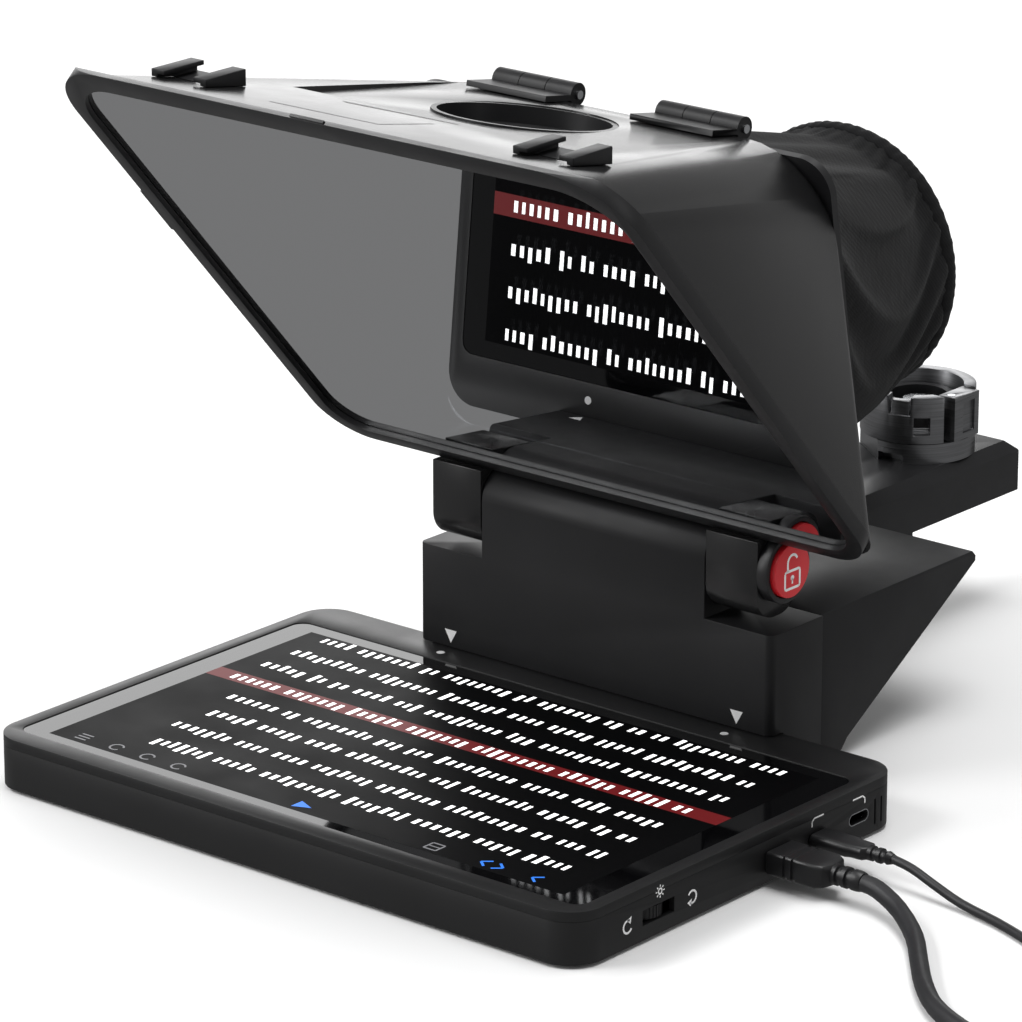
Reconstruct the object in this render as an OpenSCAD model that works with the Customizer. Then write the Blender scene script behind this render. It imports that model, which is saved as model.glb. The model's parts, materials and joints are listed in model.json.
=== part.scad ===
// Teleprompter: a flat monitor lies under a folding hood that holds a slanted beam splitter.
// A camera stands on the bar behind the hood and looks through a cloth sleeve.
// Design coordinates: X is centred, Y starts at the monitor's front edge, Z at its underside.
// datum() moves them so that the origin is at the centre of the base.

/* [Monitor] */
// Width of the monitor, left to right
monitor_w = 255; // [250:1:260]
// Depth of the monitor, front to back
monitor_d = 170; // [168:1:172]
// Thickness of the monitor without its feet
monitor_h = 18; // [18:0.5:19]
// Radius of the monitor's upright corners
monitor_r = 12.5; // [10:0.5:14]
// Wall thickness of the monitor's tray
tray_wall = 2; // [1.6:0.2:2.4]
// Height of the rubber feet
foot_h = 1.2; // [1:0.1:1.5]

/* [Bracket] */
// Half the width of the bracket block
bracket_hw = 77.5; // [76:0.5:79]
// Height of the bracket's deck above the monitor's underside
deck_z = 54; // [53:0.5:55]
// Front face of the bracket block
bracket_y = 163.5; // [163:0.5:164]
// Height of the tilt axis
tilt_z = 74.5; // [74:0.5:75]
// Radius of the knuckle round the tilt axis
knuckle_r = 11; // [10:0.5:11]
// Radius of the tilt pin
tilt_pin_r = 5; // [4:0.5:6]

/* [Hood] */
// Angle of the glass above the horizontal
glass_tilt = 48; // [47.5:0.5:48.5]
// Half the width of the glass frame
frame_hw = 118.5; // [117:0.5:120]
// Length of the glass frame up its slope
frame_len = 214.5; // [213:0.5:216]
// Wall thickness of the hood
hood_wall = 3; // [2.6:0.2:3.4]
// Radius of the round recess on top of the hood
port_r = 30; // [28:1:32]

/* [Camera side] */
// Half the width of the camera bar
bar_hw = 23.5; // [22:0.5:24]
// Radius of the quick-release puck
puck_r = 21; // [20:0.5:22]
// Radius of the sleeve's round rim
rim_r = 47.5; // [45:0.5:49]

/* [Hidden] */
$fn = 48;
gap = 0.05;
run_gap = 0.3;

total_d = 382;
tilt_y = bracket_y + knuckle_r;
tray_h = 14.5;
glass_window = [244, 143];
glass_window_y = 8.2;

// Hood outline in the glass plane: half width, bottom and top edge, corner radii.
frame_y = 166.5;
frame_z = 86;
frame_r_top = 26.5;
frame_r_bottom = 18.4;
frame_depth = 5;
// How far the outline moves for each millimetre behind the glass plane.
side_draft = 0.3;
top_draft = 1.264;
bottom_draft = 0.92;

// Rear opening of the hood, in its own leaning plane.
rear_y = 195;
rear_z = 85.7;
rear_lean = 99.7;
rear_hw = 91.5;
rear_len = 136.3;
rear_r_top = 35;
rear_r_bottom = 12;
roof_slope = 9.7;
roof_end = [172, 220];

// Rear hinges: axis height and place over the hood's top rear edge.
rear_axis = [177.5, 221.3];
rear_knuckle_r = 4;
rear_pin_r = 1.5;
leaf_x0 = 18;
leaf_x1 = 52.5;
middle_x0 = 29.6;
middle_x1 = 40.9;

// Sleeve rim.
rim_y = 306;
rim_z = 141;
sleeve_t = 2;
sleeve_r_bottom = 68;

// Tilt lugs.
lug_in = 49.3;
lug_out = 71;
lug_half = 11;
lug_bottom = 57.2;
lug_top = 85.6;
lug_round = 9.5;
lock_r = 9.5;
lock_bore_x = 66.5;
ring_r = 11.8;
ring_end = 75.6;
button_x = [71.3, 77.3];
lug_screw_x = 58;
lug_screw_y = [176.5, 182];

// Bracket arm.
arm_hw = 76.5;
thread_r = 3.175;
arm_front = 192;
arm_side = [[192, 0.5], [201, 0.5], [205, 2], [208, 5.5], [281, 50.1], [281, 52], [279, 54], [192, 54]];
pocket_x = [-73, -50.5, 29.5, 52];
pocket_w = 21;
slot_hw = bar_hw + 0.5;
slot_front = 214;
bar_z = 39.5;
bar_h = 19;
bar_front = 215;
puck_y = 351;
puck_z = bar_z + bar_h;

// Ports on the monitor's right side: centre along Y, height.
hdmi_y = 102.5;
usb_y = 123.7;
spare_y = 146;
port_z = 7.6;
wheel_y = 41;
wheel_r = 7;

// Cords: diameter, route points by hand, coil centre, coil ring radius and section.
hdmi_d = 6;
usb_d = 3;
cord_floor = -foot_h;
hdmi_route = [[162, 102.5, 7], [168, 102, 6.4], [180, 97, 4.2], [194, 86, 2.4], [206, 72, 2],
    [218, 58, 2], [231, 46, 2], [246, 38, 2], [264, 32, 2], [283, 30, 2], [302, 30, 2]];
hdmi_coil = [302, 69];
hdmi_coil_r = 33;
usb_route = [[158, 123.7, 7.6], [166, 123, 6.6], [176, 121.5, 4], [188, 119.5, 1.4], [204, 116, 0.6],
    [220, 110, 0.5], [236, 102, 0.5], [246, 99, 0.5], [256, 98.5, 0.5]];
usb_coil = [256, 120];
usb_coil_r = 17;

module datum() { translate([0, -total_d / 2, foot_h]) children(); }

// Rounded plate with true arcs, centred on X, its front edge on Y = 0.
module plate(w, d, h, r) {
    linear_extrude(h) {
        translate([-w / 2 + r, 0]) square([w - 2 * r, d]);
        translate([-w / 2, r]) square([w, d - 2 * r]);
        for (x = [-1, 1], y = [r, d - r]) translate([x * (w / 2 - r), y]) circle(r);
    }
}

// Block extruded along X from a side outline given in Y and Z.
module side_block(points, x0, x1) {
    translate([x0, 0, 0]) rotate([90, 0, 90]) linear_extrude(x1 - x0) polygon(points);
}

module x_rod(r, x0, x1) { translate([x0, 0, 0]) rotate([0, 90, 0]) cylinder(r = r, h = x1 - x0); }
module at_tilt() { translate([0, tilt_y, tilt_z]) children(); }
module at_glass() { translate([0, frame_y, frame_z]) rotate([180 - glass_tilt, 0, 0]) children(); }
module at_rear() { translate([0, rear_y, rear_z]) rotate([rear_lean, 0, 0]) children(); }
module at_roof() { translate([0, roof_end[0], roof_end[1]]) rotate([-roof_slope, 0, 0]) children(); }
module at_rear_axis() { translate([0, rear_axis[0], rear_axis[1]]) children(); }

// Four corner discs of an outline in a plane; hull() joins them into the outline.
module corner_discs(hw, s0, s1, r0, r1, z, t) {
    for (side = [-1, 1]) {
        translate([side * (hw - r0), s0 + r0, z]) cylinder(r = r0, h = t, $fn = 32);
        translate([side * (hw - r1), s1 - r1, z]) cylinder(r = r1, h = t, $fn = 32);
    }
}

// Hood outline a given depth behind the glass plane, shrunk by inset.
module glass_corners(depth, inset) {
    at_glass() corner_discs(frame_hw - side_draft * depth - inset, -bottom_draft * depth + inset,
        frame_len - top_draft * depth - inset, frame_r_bottom - inset, frame_r_top - inset, -depth, 0.1);
}
module rear_corners(back, inset) {
    at_rear() corner_discs(rear_hw - inset, inset, rear_len - inset, rear_r_bottom - min(inset, 9),
        rear_r_top - inset, -back, 0.1);
}

// Outline of the sleeve's wide end, whose lower corners are far rounder than the hood's.
module sleeve_corners(back, inset) {
    at_rear() corner_discs(rear_hw - inset, inset, rear_len - inset, sleeve_r_bottom - inset,
        rear_r_top - inset, -back, 0.1);
}

/* ---- monitor ---- */
module port_cuts() {
    translate([monitor_w / 2 - 8, hdmi_y - 6, port_z - 2]) cube([12, 12, 4]);
    for (y = [usb_y, spare_y]) {
        translate([monitor_w / 2 - 8, y - 3.3, port_z - 1.75]) cube([12, 6.6, 3.5]);
        for (s = [-3.3, 3.3]) translate([monitor_w / 2 - 8, y + s, port_z]) rotate([0, 90, 0])
            cylinder(r = 1.75, h = 12);
    }
    translate([monitor_w / 2 - 7, wheel_y - 8, port_z - 2.6]) cube([12, 16, 5.2]);
    for (y = [155, 158.5]) translate([monitor_w / 2 - 1, y - 0.5, 2.5]) cube([2, 1, 9]);
}
module monitor_tray() {
    color("#232425") datum() difference() {
        plate(monitor_w, monitor_d, tray_h, monitor_r);
        translate([0, tray_wall, tray_wall])
            plate(monitor_w - 2 * tray_wall, monitor_d - 2 * tray_wall, tray_h, monitor_r - tray_wall);
        port_cuts();
    }
}
module monitor_rim() {
    color("#2b2c2e") datum() translate([0, 0, tray_h + gap]) difference() {
        plate(monitor_w, monitor_d, monitor_h - tray_h - gap, monitor_r);
        translate([0, glass_window_y, -1]) plate(glass_window[0], glass_window[1], 9, 5);
        translate([0, glass_window_y + glass_window[1] + 4, -1]) plate(180, 8, 2, 2);
    }
}
module cover_glass() {
    color("#101114") datum() translate([0, glass_window_y + 0.2, 16.2])
        plate(glass_window[0] - 0.4, glass_window[1] - 0.4, 1.5, 4.8);
}
module lcd_panel() {
    color("#30343a") datum() translate([-116, 12, 12.4]) cube([232, 136, 3.7]);
}
module main_board() {
    color("#1d5a38") datum() {
        translate([-60, 60, 3.4]) cube([176, 96, 1.6]);
        translate([-20, 90, 5]) cube([16, 16, 1.6]);
        translate([20, 80, 5]) cube([12, 12, 1.4]);
        translate([50, 120, 5]) cube([9, 9, 1.2]);
    }
}
module socket_shell(y, w, h) {
    datum() translate([108, y - w / 2, port_z - h / 2]) difference() {
        cube([11.2, w, h]);
        translate([3, 0.6, 0.6]) cube([12, w - 1.2, h - 1.2]);
    }
}
module hdmi_socket() { color("silver") socket_shell(hdmi_y, 11.4, 3.6); }
module usb_socket_power() { color("silver") socket_shell(usb_y, 9, 3.3); }
module usb_socket_data() { color("silver") socket_shell(spare_y, 9, 3.3); }
module control_wheel() {
    color("#151515") datum() translate([monitor_w / 2 - wheel_r - 0.2, wheel_y, port_z - 2]) difference() {
        union() {
            cylinder(r = wheel_r - 0.4, h = 4);
            for (i = [0 : 29]) rotate(i * 12) translate([wheel_r - 1, -0.35, 0]) cube([0.8, 0.7, 4]);
        }
        translate([0, 0, -1]) cylinder(r = 1.3, h = 6);
    }
}
module wheel_axle() {
    color("silver") datum() translate([monitor_w / 2 - wheel_r - 0.2, wheel_y, tray_wall + gap])
        cylinder(r = 1.25, h = 9.5);
}
module monitor_feet() {
    color("#111111") datum() for (x = [-100, 100], y = [16, 150])
        translate([x, y, -foot_h]) cylinder(r = 6, h = foot_h - 0.02);
}
module tray_screws() {
    color("#3a3a3c") datum() for (x = [-121, 121], y = [22, 134]) translate([x, y, tray_wall + gap])
        cylinder(r = 1.5, h = 9.5);
}

/* ---- bracket ---- */
module bracket_body() {
    color("#26272a") datum() difference() {
        union() {
            intersection() {
                side_block([[bracket_y, 18.2], [bracket_y, deck_z], [arm_front - 0.2, deck_z],
                    [arm_front - 0.2, 0.5], [170.6, 0.5], [170.6, 18.2]], -bracket_hw, bracket_hw);
                translate([0, bracket_y, 0]) plate(2 * bracket_hw, 60, 60, 3);
            }
            side_block([[bracket_y, 50], [bracket_y, tilt_z], [tilt_y + knuckle_r, tilt_z],
                [tilt_y + knuckle_r, 50]], -lug_in + 0.5, lug_in - 0.5);
            at_tilt() x_rod(knuckle_r, -lug_in + 0.5, lug_in - 0.5);
        }
        at_tilt() x_rod(tilt_pin_r + 0.02, -60, 60);
        for (x = pocket_x) translate([x, 175, 6]) cube([pocket_w, 30, 42]);
        for (s = [-1, 1]) translate([s * 14, 177.9, 46]) rotate([-90, 0, 0]) cylinder(r = 2.52, h = 20);
        translate([0, 181, -1]) cylinder(r = 6.02, h = 13);
    }
}
module bracket_arm() {
    color("#2a2b2e") datum() difference() {
        side_block(arm_side, -arm_hw, arm_hw);
        translate([-slot_hw, slot_front, bar_z - 0.05]) cube([2 * slot_hw, 80, 30]);
        for (x = pocket_x)
            side_block([[191, 4], [203.5, 4], [268, 43.5], [268, 50.5], [191, 50.5]], x, x + pocket_w);
        for (x = [-24, 1.5])
            side_block([[191, 4], [203.5, 4], [250, 32.5], [250, 35.5], [191, 35.5]], x, x + 22.5);
        for (s = [-1, 1]) for (y = [225, 243]) translate([s * 14, y, 30]) cylinder(r = 2.55, h = 20);
        for (s = [-1, 1]) translate([s * 14, 190, 46]) rotate([-90, 0, 0]) {
            cylinder(r = 2.55, h = 30);
            translate([0, 0, 19.8]) cylinder(r = 4.3, h = 9);
        }
    }
}
module arm_screws() {
    color("#47484b") datum() for (s = [-1, 1]) translate([s * 14, 178, 46]) rotate([-90, 0, 0]) {
        cylinder(r = 2.5, h = 32);
        translate([0, 0, 32]) cylinder(r = 4.2, h = 3.9);
    }
}
module tripod_insert() {
    color("#b89a54") datum() translate([0, 181, 0.5]) difference() {
        cylinder(r = 6, h = 11.4);
        translate([0, 0, -1]) cylinder(r = thread_r, h = 20);
    }
}
module rear_foot() {
    color("#111111") datum() translate([-60, 193, -foot_h]) cube([120, 7.5, foot_h + 0.48]);
}
module tilt_pin() { color("silver") datum() at_tilt() x_rod(tilt_pin_r, -69.5, 65.5); }

/* ---- camera bar and quick-release puck ---- */
module camera_bar() {
    color("#2b2c2f") datum() difference() {
        intersection() {
            side_block([[bar_front, bar_z], [264.2, bar_z], [264.2, 33], [317, 33], [317, bar_z],
                [total_d, bar_z], [total_d, 55], [total_d - 4, puck_z], [bar_front, puck_z]], -bar_hw, bar_hw);
            translate([0, total_d, 0]) rotate([90, 0, 0]) linear_extrude(200)
                polygon([[-bar_hw, 30], [bar_hw, 30], [bar_hw, 54.5], [bar_hw - 4, puck_z],
                    [4 - bar_hw, puck_z], [-bar_hw, 54.5]]);
        }
        translate([-15, bar_front + 50, 20]) cube([30, 110, 30]);
        for (s = [-1, 1], y = [225, 243]) translate([s * 14, y, 30]) cylinder(r = 2.55, h = 30);
        for (s = [-1, 1], y = [225, 243]) translate([s * 14, y, puck_z - 4]) cylinder(r = 4.6, h = 10);
        translate([0, puck_y, 30]) cylinder(r = 3.25, h = 40);
    }
}
module bar_screws() {
    color("#5a5b5e") datum() for (s = [-1, 1], y = [225, 243]) translate([s * 14, y, 0]) {
        translate([0, 0, 36]) cylinder(r = 2.5, h = puck_z - 4 - 36 + 0.02);
        translate([0, 0, puck_z - 3.98]) cylinder(r = 4.5, h = 3.6);
    }
}
module at_puck(z) { datum() translate([0, puck_y, puck_z + z]) children(); }
module puck_base() {
    color("#3a3b3e") at_puck(0.02) difference() {
        cylinder(r = puck_r, h = 7.4);
        translate([0, 0, -1]) cylinder(r = 3.25, h = 20);
        rotate(-125) translate([puck_r - 2.5, -12, -1]) cube([5, 24, 20]);
        rotate(-82) translate([16.5, -5, -1]) cube([8, 10, 4.4]);
        translate([18, -4.5, 4.4]) cylinder(r = 1.52, h = 9);
    }
}
module puck_ring() {
    color("#6b6c70") at_puck(7.6) {
        difference() {
            cylinder(r = puck_r, h = 17.4);
            translate([0, 0, 4]) cylinder(r = 16.5, h = 20);
            translate([0, 0, -1]) cylinder(r = 3.25, h = 20);
            rotate(-73) translate([14, -4.2, 10.4]) cube([12, 8.4, 10]);
            rotate(-50) translate([14, -3, 3.2]) cube([12, 6, 6.7]);
            translate([12.8, -9.6, -1]) cube([12, 17.6, 20]);
        }
        rotate(-73) translate([17, -3.4, 9.4]) cube([3, 6.8, 6.4]);
    }
}
module puck_socket() {
    color("#1b1b1d") at_puck(11.7) difference() {
        cylinder(r = 13.4, h = 9);
        translate([0, 0, 4]) cylinder(r = 10.5, h = 9);
        translate([0, 0, -1]) cylinder(r = 3.25, h = 9);
    }
}
module puck_screw() {
    color("silver") at_puck(-11) {
        cylinder(r = 3.2, h = 27.5);
        translate([0, 0, 26.8]) cylinder(r = 5.5, h = 3);
    }
}
module puck_lever() {
    color("#4a4b4f") at_puck(7.8) difference() {
        translate([14.4, -7.4, 0.2]) cube([7.4, 14.8, 16.4]);
        translate([18, -4.5, -1]) cylinder(r = 1.55, h = 30);
        translate([20.6, -2.2, 2.4]) cube([9, 7, 11.6]);
    }
}
module puck_lever_pin() {
    color("silver") at_puck(4.5) translate([18, -4.5, 0]) cylinder(r = 1.5, h = 20);
}

/* ---- hood ---- */
module lug(side) {
    x0 = side > 0 ? lug_in : -lug_out;
    x1 = side > 0 ? lug_out : -lug_in;
    round_y = lug_half - lug_round;
    color("#303134") datum() difference() {
        union() {
            translate([x0, tilt_y - lug_half, lug_bottom + lug_round])
                cube([x1 - x0, 2 * lug_half, lug_top - lug_bottom - lug_round]);
            translate([x0, tilt_y - round_y, lug_bottom])
                cube([x1 - x0, 2 * round_y, lug_round + 1]);
            for (s = [-1, 1]) translate([0, tilt_y + s * round_y, lug_bottom + lug_round])
                x_rod(lug_round, x0, x1);
        }
        if (side > 0) {
            at_tilt() x_rod(tilt_pin_r + 0.05, 40, 90);
            at_tilt() x_rod(lock_r + 0.3, lock_bore_x, 90);
        } else {
            at_tilt() x_rod(tilt_pin_r + 0.05, -69.8, -40);
        }
        for (y = lug_screw_y) translate([side * lug_screw_x, y, 80.5]) cylinder(r = 1.95, h = 10);
    }
}
module lug_left() { lug(-1); }
module lug_right() { lug(1); }
module lug_screws() {
    color("#47484b") datum() for (s = [-1, 1], y = lug_screw_y)
        translate([s * lug_screw_x, y, 81.2]) cylinder(r = 1.9, h = 9.4);
}
module lock_ring() {
    color("#141414") datum() difference() {
        at_tilt() x_rod(ring_r, lug_out + gap, ring_end);
        at_tilt() x_rod(lock_r + 0.3, 60, 90);
        translate([60, 150, lug_top]) cube([40, 40, 10]);
    }
}
module lock_button() {
    color("#c5202c") datum() at_tilt() x_rod(lock_r, button_x[0], button_x[1]);
}
module lock_spring() {
    color("silver") datum() at_tilt() difference() {
        x_rod(7, lock_bore_x + 0.1, button_x[0] - 0.1);
        x_rod(5.6, 60, 90);
    }
}
module hood_shell() {
    color("#303134") datum() difference() {
        hull() { glass_corners(frame_depth + 0.1, 0); rear_corners(0, 0); }
        hull() { glass_corners(frame_depth - 1.5, hood_wall + 1.2); rear_corners(1, hood_wall); }
        at_roof() translate([0, -44.5, -10]) cylinder(r = port_r + 1, h = 30);
        at_roof() rotate([1.1, 0, 0]) translate([-61.5, -90, -0.2]) cube([123, 100, 20]);
        for (s = [-1, 1], y = lug_screw_y) translate([s * lug_screw_x, y, 80]) cylinder(r = 1.95, h = 14);
    }
}
// Flat outline with true arcs: half width, bottom and top edge, bottom and top corner radius.
module outline(hw, s0, s1, r0, r1) {
    for (side = [-1, 1]) {
        translate([side * (hw - r0), s0 + r0]) circle(r0);
        translate([side * (hw - r1), s1 - r1]) circle(r1);
    }
    translate([r0 - hw, s0]) square([2 * (hw - r0), r0 + 1]);
    translate([r1 - hw, s1 - r1 - 1]) square([2 * (hw - r1), r1 + 1]);
    translate([-hw, s0 + r0]) square([2 * hw, s1 - s0 - r0 - r1]);
}
module glass_frame() {
    color("#1e1f21") datum() difference() {
        intersection() {
            at_glass() translate([0, 0, -frame_depth]) linear_extrude(frame_depth)
                outline(frame_hw, 0, frame_len, frame_r_bottom, frame_r_top);
            at_roof() translate([-200, -300, -300]) cube([400, 600, 300.05]);
        }
        at_glass() translate([0, 0, -9]) linear_extrude(20) outline(113, 5.2, 205.2, 14, 21);
        at_glass() translate([0, 0, -9]) linear_extrude(7) outline(114.6, 3.4, 206.6, 15, 22);
    }
}
module beam_splitter() {
    color([0.75, 0.82, 0.85, 0.4]) datum() at_glass() translate([0, 0, -4.3]) linear_extrude(2.2)
        outline(114.3, 3.7, 206.3, 14.7, 21.7);
}
module frame_clips() {
    color("#1e1f21") datum() at_glass() {
        translate([-frame_hw - 2.05, 120, -4]) cube([2, 22, 3.4]);
        translate([-8, frame_len + 0.05, -1.1]) cube([14, 1, 1]);
    }
}
module shoe(side) {
    color("#3b3c40") datum() difference() {
        translate([side * 76.5 - 12.2, 45, 232]) cube([24.4, 19, 12.4]);
        translate([side * 76.5 - 9.3, 44, 240.6]) cube([18.6, 30, 2.2]);
        translate([side * 76.5 - 6.3, 44, 240.6]) cube([12.6, 30, 9]);
        at_roof() translate([-200, -200, -40.05]) cube([400, 400, 40.15]);
    }
}
module shoe_left() { shoe(-1); }
module shoe_right() { shoe(1); }
module port_cup() {
    color("#0c0c0d") datum() at_roof() translate([0, -44.5, -9]) difference() {
        cylinder(r = port_r + 0.9, h = 8);
        translate([0, 0, 2]) cylinder(r = port_r - 1, h = 12);
    }
}

/* ---- rear hinges, panel and sleeve ---- */
module hinge_fixed(side) {
    x0 = side > 0 ? leaf_x0 : -leaf_x1;
    color("#3f4044") datum() difference() {
        union() {
            at_roof() translate([x0, -12, 0.1]) cube([leaf_x1 - leaf_x0, 15, 2]);
            at_rear_axis() x_rod(rear_knuckle_r, x0, x0 + leaf_x1 - leaf_x0);
        }
        at_rear_axis() translate([side > 0 ? middle_x0 - run_gap : -middle_x1 - run_gap, -5, -9])
            cube([middle_x1 - middle_x0 + 2 * run_gap, 14, 20]);
        at_rear_axis() x_rod(rear_pin_r + 0.02, -90, 90);
    }
}
module hinge_fixed_left() { hinge_fixed(-1); }
module hinge_fixed_right() { hinge_fixed(1); }
module hinge_pin(side) {
    x0 = side > 0 ? leaf_x0 - 1 : -leaf_x1 - 1;
    color("silver") datum() at_rear_axis() x_rod(rear_pin_r, x0, x0 + leaf_x1 - leaf_x0 + 2);
}
module hinge_pin_left() { hinge_pin(-1); }
module hinge_pin_right() { hinge_pin(1); }
module hinge_moving(side) {
    x0 = side > 0 ? middle_x0 : -middle_x1;
    color("#3f4044") datum() difference() {
        union() {
            at_roof() translate([x0, 1.6, -13]) cube([middle_x1 - middle_x0, 1.9, 14]);
            at_rear_axis() x_rod(rear_knuckle_r, x0, x0 + middle_x1 - middle_x0);
        }
        at_rear_axis() x_rod(rear_pin_r + 0.06, -90, 90);
    }
}
module hinge_moving_left() { hinge_moving(-1); }
module hinge_moving_right() { hinge_moving(1); }
module rear_panel() {
    color("#1c1d1f") datum() difference() {
        at_rear() translate([0, 3, -3.5]) plate(2 * rear_hw - 3, rear_len - 6.5, 3, 12);
        at_rear() translate([0, 0, -11]) linear_extrude(height = 22) hull() for (side = [-1, 1]) {
            translate([side * (rear_hw - sleeve_r_bottom), sleeve_r_bottom]) circle(r = sleeve_r_bottom - 15);
            translate([side * (rear_hw - rear_r_top), rear_len - rear_r_top]) circle(r = rear_r_top - 15);
        }
        for (s = [-1, 1]) at_roof() translate([s * 35.25 - 6, 1.45, -13.2]) cube([12, 6, 20]);
        for (s = [-1, 1]) at_roof() translate([s * 35.25 - 18, -2, -6.2]) cube([36, 9, 20]);
    }
}
module rim_disc(r, y) { translate([0, y, rim_z]) rotate([90, 0, 0]) cylinder(r = r, h = 0.1); }
module sleeve() {
    color("#161617") datum() difference() {
        hull() { sleeve_corners(3.8, 7); rim_disc(rim_r, rim_y - 8); }
        hull() { sleeve_corners(3, 7 + sleeve_t); rim_disc(rim_r - sleeve_t, rim_y - 7); }
    }
}
module sleeve_hem() {
    color("#121213") datum() translate([0, rim_y - 7.9, rim_z]) rotate([-90, 0, 0]) difference() {
        cylinder(r = rim_r + 0.6, h = 7.9);
        translate([0, 0, -1]) cylinder(r = rim_r - 2.4, h = 12);
    }
}

/* ---- cords ---- */
function spline(a, b, c, d, t) = 0.5 * (2 * b + (c - a) * t + (2 * a - 5 * b + 4 * c - d) * t * t
    + (3 * b - a - 3 * c + d) * t * t * t);
function clamped(p, i) = p[max(0, min(len(p) - 1, i))];
function smooth(p, steps) = concat([for (i = [0 : len(p) - 2], k = [0 : steps - 1])
    spline(clamped(p, i - 1), p[i], p[i + 1], clamped(p, i + 2), k / steps)], [p[len(p) - 1]]);
function unit(v) = v / norm(v);
function heading(p, i) = unit(clamped(p, i + 1) - clamped(p, i - 1));
function ring(c, dir, r, sides) = let (side = unit(cross(dir, [0, 0, 1])), up = cross(side, dir))
    [for (k = [0 : sides - 1]) c + r * (cos(360 * k / sides) * side + sin(360 * k / sides) * up)];
module cord_tube(route, steps, d, sides) {
    path = smooth(route, steps);
    n = len(path);
    points = [for (i = [0 : n - 1]) each ring(path[i], heading(path, i), d / 2, sides)];
    walls = [for (i = [0 : n - 2], k = [0 : sides - 1]) let (a = i * sides + k, b = i * sides + (k + 1) % sides)
        [a, b, b + sides, a + sides]];
    first = [[for (k = [0 : sides - 1]) sides - 1 - k]];
    last = [[for (k = [0 : sides - 1]) (n - 1) * sides + k]];
    polyhedron(points, concat(walls, first, last));
}
module coil(centre, ring_r, section_w, section_h, r) {
    translate([centre[0], centre[1], cord_floor + 0.05])
        rotate_extrude() translate([ring_r - section_w / 2, 0]) {
        translate([r, 0]) square([section_w - 2 * r, section_h]);
        translate([0, r]) square([section_w, section_h - 2 * r]);
        for (x = [r, section_w - r], y = [r, section_h - r]) translate([x, y]) circle(r);
    }
}
module hdmi_plug() {
    color("#2a2b2d") datum() {
        translate([monitor_w / 2 + 0.1, hdmi_y - 7.2, 3.2]) cube([23.4, 14.4, 8]);
        translate([monitor_w / 2 - 7.9, hdmi_y - 5, port_z - 1.1]) cube([8.2, 10, 2.2]);
        translate([monitor_w / 2 + 23, hdmi_y, 7]) rotate([0, 90, 0]) cylinder(r = 3.6, h = 11.5);
    }
}
module hdmi_cable() { color("#3a3b3e") datum() cord_tube(hdmi_route, 3, hdmi_d, 10); }
module hdmi_coil() { color("#3a3b3e") datum() coil(hdmi_coil, hdmi_coil_r, 18.6, 12.6, 3); }
module hdmi_far_plug() {
    color("#2a2b2d") datum() {
        translate([hdmi_coil[0] + 29, 104, cord_floor + 0.05]) cube([20, 36, 10]);
        translate([hdmi_coil[0] + 39, 84, 3.9]) rotate([-90, 0, 0]) cylinder(r = 4, h = 20.5);
    }
}
module usb_plug() {
    color("#2a2b2d") datum() {
        translate([monitor_w / 2 + 0.1, usb_y - 5.2, 5.2]) cube([21.4, 10.4, 4.8]);
        translate([monitor_w / 2 - 7.9, usb_y - 4, port_z - 1]) cube([8.2, 8, 2]);
        translate([monitor_w / 2 + 21.4, usb_y, 7.6]) rotate([0, 90, 0]) cylinder(r = 2.6, h = 9.1);
    }
}
module usb_cable() { color("#3a3b3e") datum() cord_tube(usb_route, 4, usb_d, 8); }
module usb_coil() { color("#3a3b3e") datum() coil(usb_coil, usb_coil_r, 12.4, 6.6, 1.5); }
module usb_far_plug() {
    color("#2a2b2d") datum() {
        translate([usb_coil[0] + 16.3, 138, cord_floor + 0.05]) cube([10.4, 22, 4.8]);
        translate([usb_coil[0] + 21.5, 128, 1.3]) rotate([-90, 0, 0]) cylinder(r = 2.4, h = 10.4);
    }
}
monitor_tray();
monitor_rim();
cover_glass();
lcd_panel();
main_board();
hdmi_socket();
usb_socket_power();
usb_socket_data();
control_wheel();
wheel_axle();
monitor_feet();
tray_screws();
bracket_body();
bracket_arm();
arm_screws();
tripod_insert();
rear_foot();
tilt_pin();
camera_bar();
bar_screws();
puck_base();
puck_ring();
puck_socket();
puck_screw();
puck_lever();
puck_lever_pin();
lug_left();
lug_right();
lug_screws();
lock_ring();
lock_button();
lock_spring();
hood_shell();
glass_frame();
beam_splitter();
frame_clips();
shoe_left();
shoe_right();
port_cup();
hinge_fixed_left();
hinge_fixed_right();
hinge_pin_left();
hinge_pin_right();
hinge_moving_left();
hinge_moving_right();
rear_panel();
sleeve();
sleeve_hem();
hdmi_plug();
hdmi_cable();
hdmi_coil();
hdmi_far_plug();
usb_plug();
usb_cable();
usb_coil();
usb_far_plug();
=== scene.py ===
"""Looks of the desktop teleprompter: materials, soft parts, cords and fine detail on the CAD frame."""

import json
import math
import random

import bmesh
import bpy
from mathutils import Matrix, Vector


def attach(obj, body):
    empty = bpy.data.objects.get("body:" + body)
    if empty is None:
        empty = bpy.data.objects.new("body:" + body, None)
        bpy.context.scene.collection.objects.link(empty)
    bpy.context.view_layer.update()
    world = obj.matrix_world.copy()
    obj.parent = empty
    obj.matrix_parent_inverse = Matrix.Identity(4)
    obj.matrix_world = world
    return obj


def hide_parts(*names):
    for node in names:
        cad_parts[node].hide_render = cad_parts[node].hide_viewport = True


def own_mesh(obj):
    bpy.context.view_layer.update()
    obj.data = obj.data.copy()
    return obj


MM = 0.001
HALF_DEPTH = 191.0   # from the monitor's front edge to the row's origin, mm
FOOT = 1.2           # height of the rubber feet, mm
MONITOR_TOP = 18.0   # upper face of the monitor's rim, mm
MONITOR_SIDE = 127.5   # right side face of the monitor, mm
DISPLAY_SINK = 0.3   # the display's face lies this far below the rim, mm
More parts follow.
